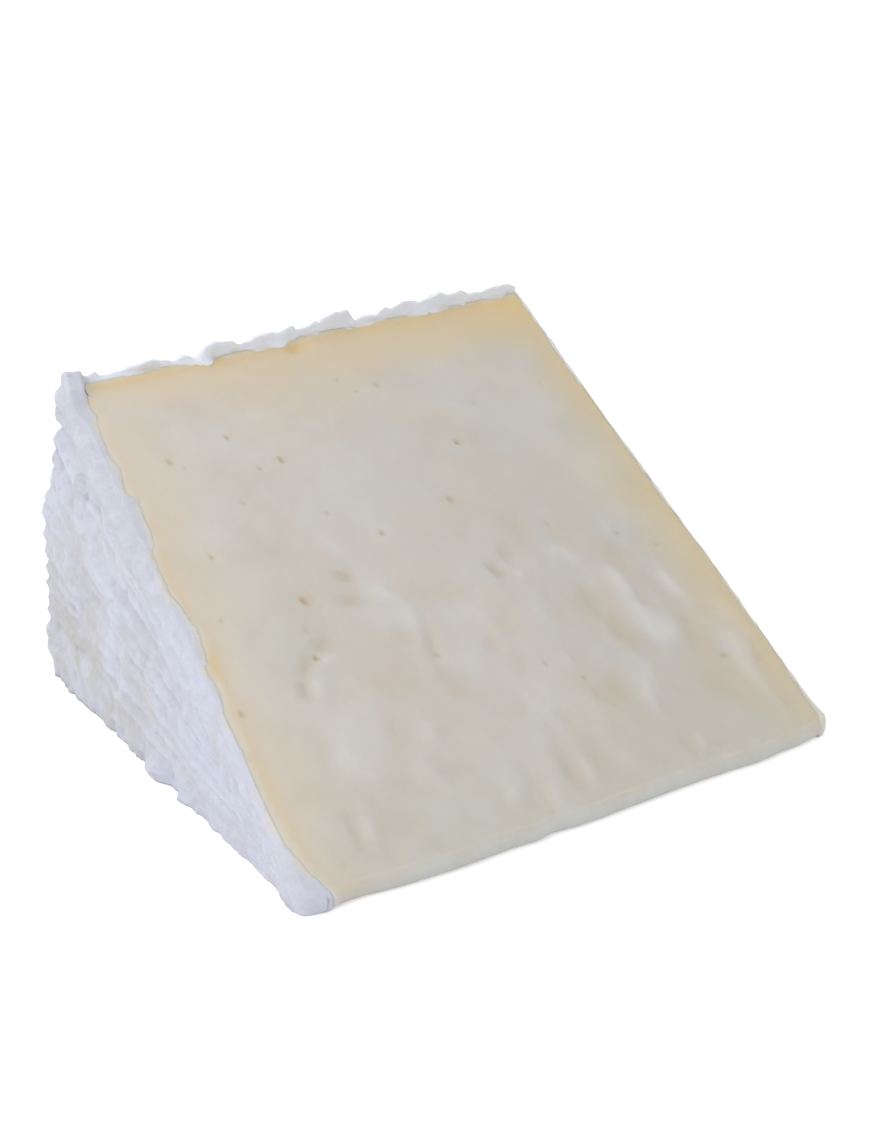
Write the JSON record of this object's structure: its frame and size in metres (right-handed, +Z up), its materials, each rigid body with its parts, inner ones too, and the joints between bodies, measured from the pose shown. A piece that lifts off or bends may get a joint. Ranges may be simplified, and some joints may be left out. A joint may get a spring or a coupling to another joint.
{
  "type": "soft-ripened sheep cheese wedge",
  "caption": "Wedge cut from a wheel of soft-ripened sheep's-milk cheese, lying on one cut face, with ivory paste and white bloomy rind on its outer sides.",
  "frame": {"origin": "on the surface that the piece lies on, under the middle of its box", "axes": "+X across the wheel from one flat side to the other, +Y from the thin tip to the outer rind, +Z up"},
  "size_m": [0.0981, 0.1048, 0.0622],
  "materials": {
    "paste": "soft ivory cheese paste with a moist satin sheen, yellower under the rind",
    "rind": "matt white velvety mould rind, ridged and slightly mottled"
  },
  "bodies": {
    "root": {"cheese_wedge": "paste"}
  },
  "joints": []
}
